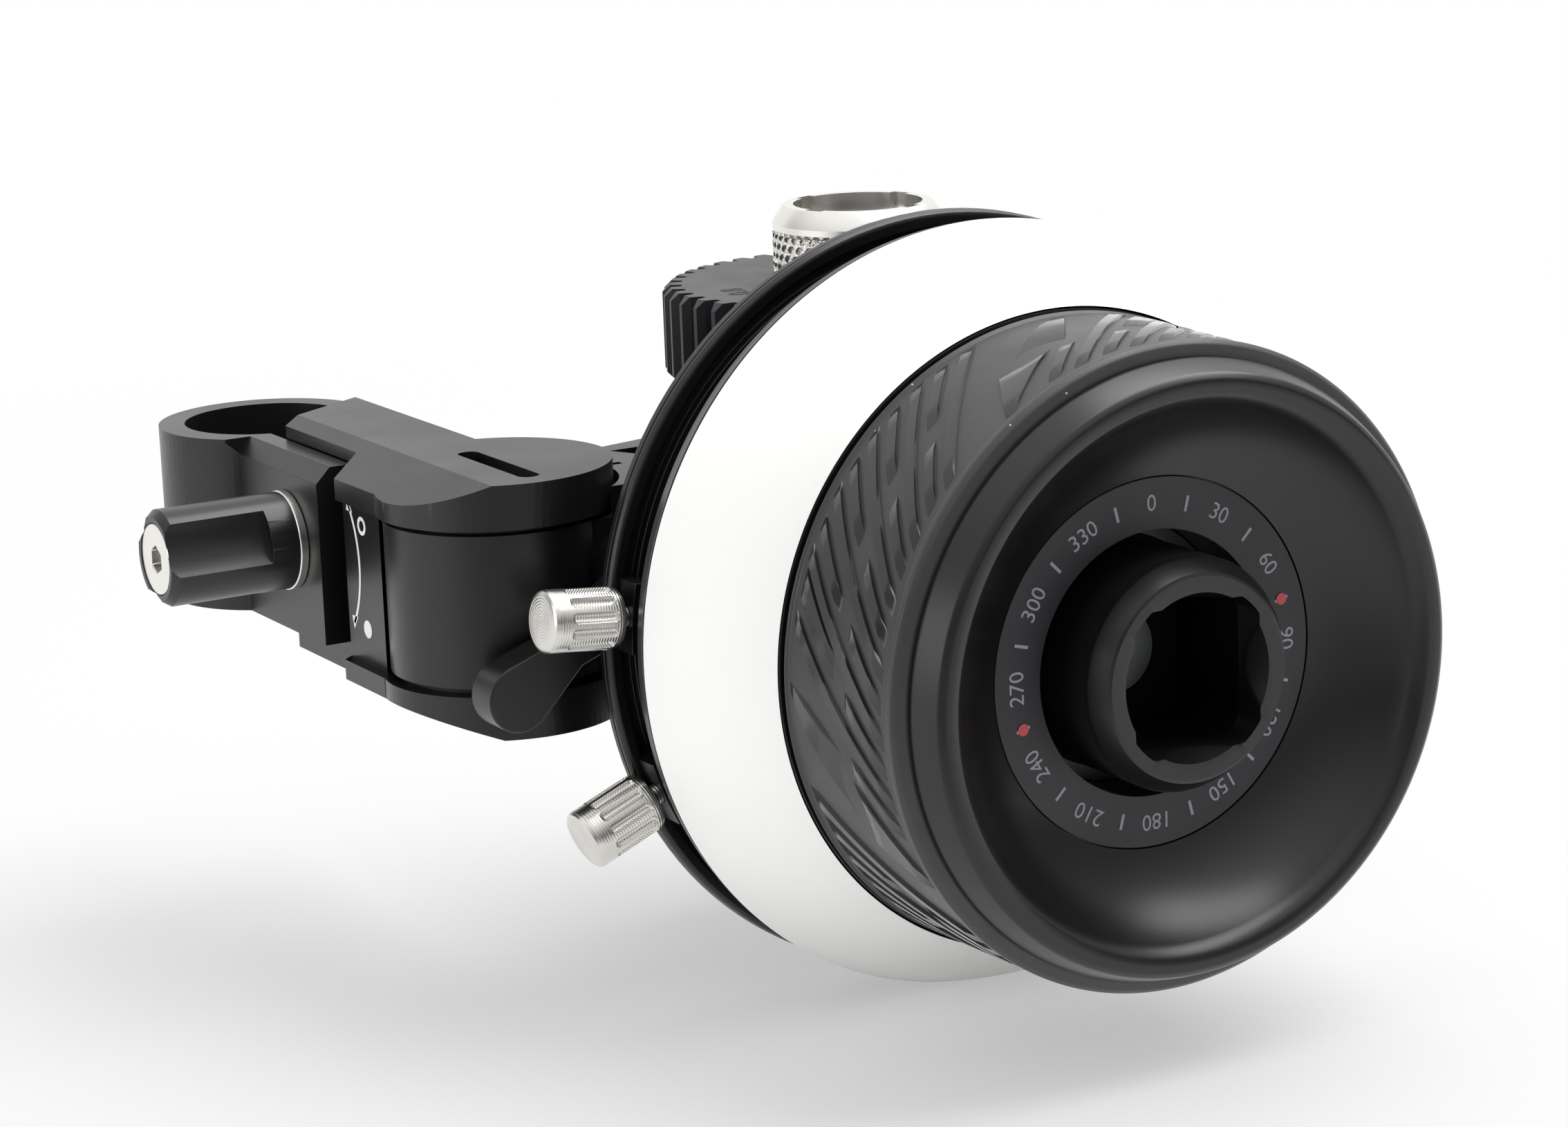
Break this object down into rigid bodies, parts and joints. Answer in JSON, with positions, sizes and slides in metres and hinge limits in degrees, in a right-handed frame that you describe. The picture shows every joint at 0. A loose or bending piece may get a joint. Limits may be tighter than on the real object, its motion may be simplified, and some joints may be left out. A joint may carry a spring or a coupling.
{
  "type": "follow focus unit",
  "caption": "Camera follow focus unit: hand wheel with marking disc and hard stops, swing arm, rod clamp and geared drive.",
  "frame": {"origin": "axis of the rod clamp at the middle of its ring", "axes": "+Z along the rod clamp's axis towards the lens gear, -Y towards the front of the hand wheel, +X from the rod clamp towards the hand wheel"},
  "size_m": [0.0914, 0.1038, 0.0668],
  "materials": {
    "black_aluminium": "black anodised, fine satin",
    "black_knob": "black anodised, glossy turned",
    "black_screw": "black oxide",
    "stainless": "bright turned stainless steel",
    "steel": "plain ground steel",
    "brass": "machined brass",
    "bronze": "sintered bronze",
    "grip_rubber": "moulded rubber with a matte ground and glossy raised bars",
    "white_disc": "fine matte white, takes pencil and wipes clean",
    "label_print": "satin dark plastic with printed marks",
    "friction_plastic": "dark acetal"
  },
  "bodies": {
    "bracket": {"rod_bracket": "black_aluminium", "clamp_insert": "brass", "pivot_bolt": "steel", "friction_washers": "friction_plastic"},
    "clamp": {"clamp_knob": "black_knob", "clamp_bolt": "stainless", "clamp_washer": "stainless"},
    "arm": {"gear_housing": "black_aluminium", "housing_cover": "black_aluminium", "cover_screws": "black_screw", "back_plate": "black_aluminium", "plate_screws": "black_screw", "bearing_outers": "steel", "idler_bushes": "bronze", "output_bushes": "bronze", "lever_insert": "brass"},
    "lever": {"lock_lever": "black_aluminium", "lever_stud": "stainless"},
    "wheel": {"hand_wheel": "black_aluminium", "grip_ring": "grip_rubber", "marking_disc": "white_disc", "disc_carrier": "black_aluminium", "carrier_screws": "black_screw", "label_ring": "label_print", "wheel_shaft": "steel", "hub_screw": "steel", "bearing_inners": "steel", "shaft_spacer": "steel", "shaft_circlip": "steel", "wheel_bevel": "steel", "bevel_pin": "steel", "stop_dog": "steel"},
    "idler": {"idler_shaft": "steel", "idler_bevel": "steel", "idler_gear": "brass", "idler_pins": "steel"},
    "drive": {"output_shaft": "steel", "output_gear": "brass", "output_pin": "steel", "lens_gear": "black_aluminium", "gear_key": "steel"},
    "nut": {"lock_nut": "stainless"},
    "stop_a": {"stop_a_block": "black_aluminium"},
    "stop_a_knob": {"stop_a_screw": "stainless"},
    "stop_b": {"stop_b_block": "black_aluminium"},
    "stop_b_knob": {"stop_b_screw": "stainless"}
  },
  "joints": [
    {"name": "clamp_turn", "type": "hinge", "parent": "bracket", "child": "clamp", "pos_m": [-0.0059, -0.0178, 0.0005], "axis": [-1, 0, 0], "range_deg": [0, 360]},
    {"name": "arm_swing", "type": "hinge", "parent": "bracket", "child": "arm", "pos_m": [0.004, -0.0398, 0], "axis": [0, 0, 1], "range_deg": [-90, 15]},
    {"name": "lever_turn", "type": "hinge", "parent": "arm", "child": "lever", "pos_m": [0.0131, -0.0522, 0.0002], "axis": [0, 1, 0], "range_deg": [0, 60]},
    {"name": "wheel_turn", "type": "hinge", "parent": "arm", "child": "wheel", "pos_m": [0.0393, -0.06, -0.004], "axis": [0, -1, 0], "range_deg": [-150, 150]},
    {"name": "idler_turn", "type": "hinge", "parent": "arm", "child": "idler", "pos_m": [0.0393, -0.0461, -0.004], "axis": [0, 0, 1], "range_deg": [-150, 150]},
    {"name": "drive_turn", "type": "hinge", "parent": "arm", "child": "drive", "pos_m": [0.0441, -0.0351, 0.01655], "axis": [0, 0, 1], "range_deg": [-150, 150]},
    {"name": "nut_turn", "type": "hinge", "parent": "drive", "child": "nut", "pos_m": [0.0441, -0.0351, 0.022], "axis": [0, 0, 1], "range_deg": [0, 360]},
    {"name": "stop_a_turn", "type": "hinge", "parent": "arm", "child": "stop_a", "pos_m": [0.0393, -0.0576, -0.004], "axis": [0, -1, 0], "range_deg": [-150, 6]},
    {"name": "stop_a_screw", "type": "hinge", "parent": "stop_a", "child": "stop_a_knob", "pos_m": [0.00347, -0.0576, -0.00055], "axis": [-0.9954, 0, 0.0958], "range_deg": [0, 360]},
    {"name": "stop_b_turn", "type": "hinge", "parent": "arm", "child": "stop_b", "pos_m": [0.0393, -0.0576, -0.004], "axis": [0, -1, 0], "range_deg": [-6, 150]},
    {"name": "stop_b_screw", "type": "hinge", "parent": "stop_b", "child": "stop_b_knob", "pos_m": [0.00604, -0.0576, -0.01778], "axis": [-0.9239, 0, -0.3827], "range_deg": [0, 360]}
  ],
  "couplings": [
    {"joint": "idler_turn", "follows": "wheel_turn", "ratio": 1},
    {"joint": "drive_turn", "follows": "wheel_turn", "ratio": -1}
  ]
}
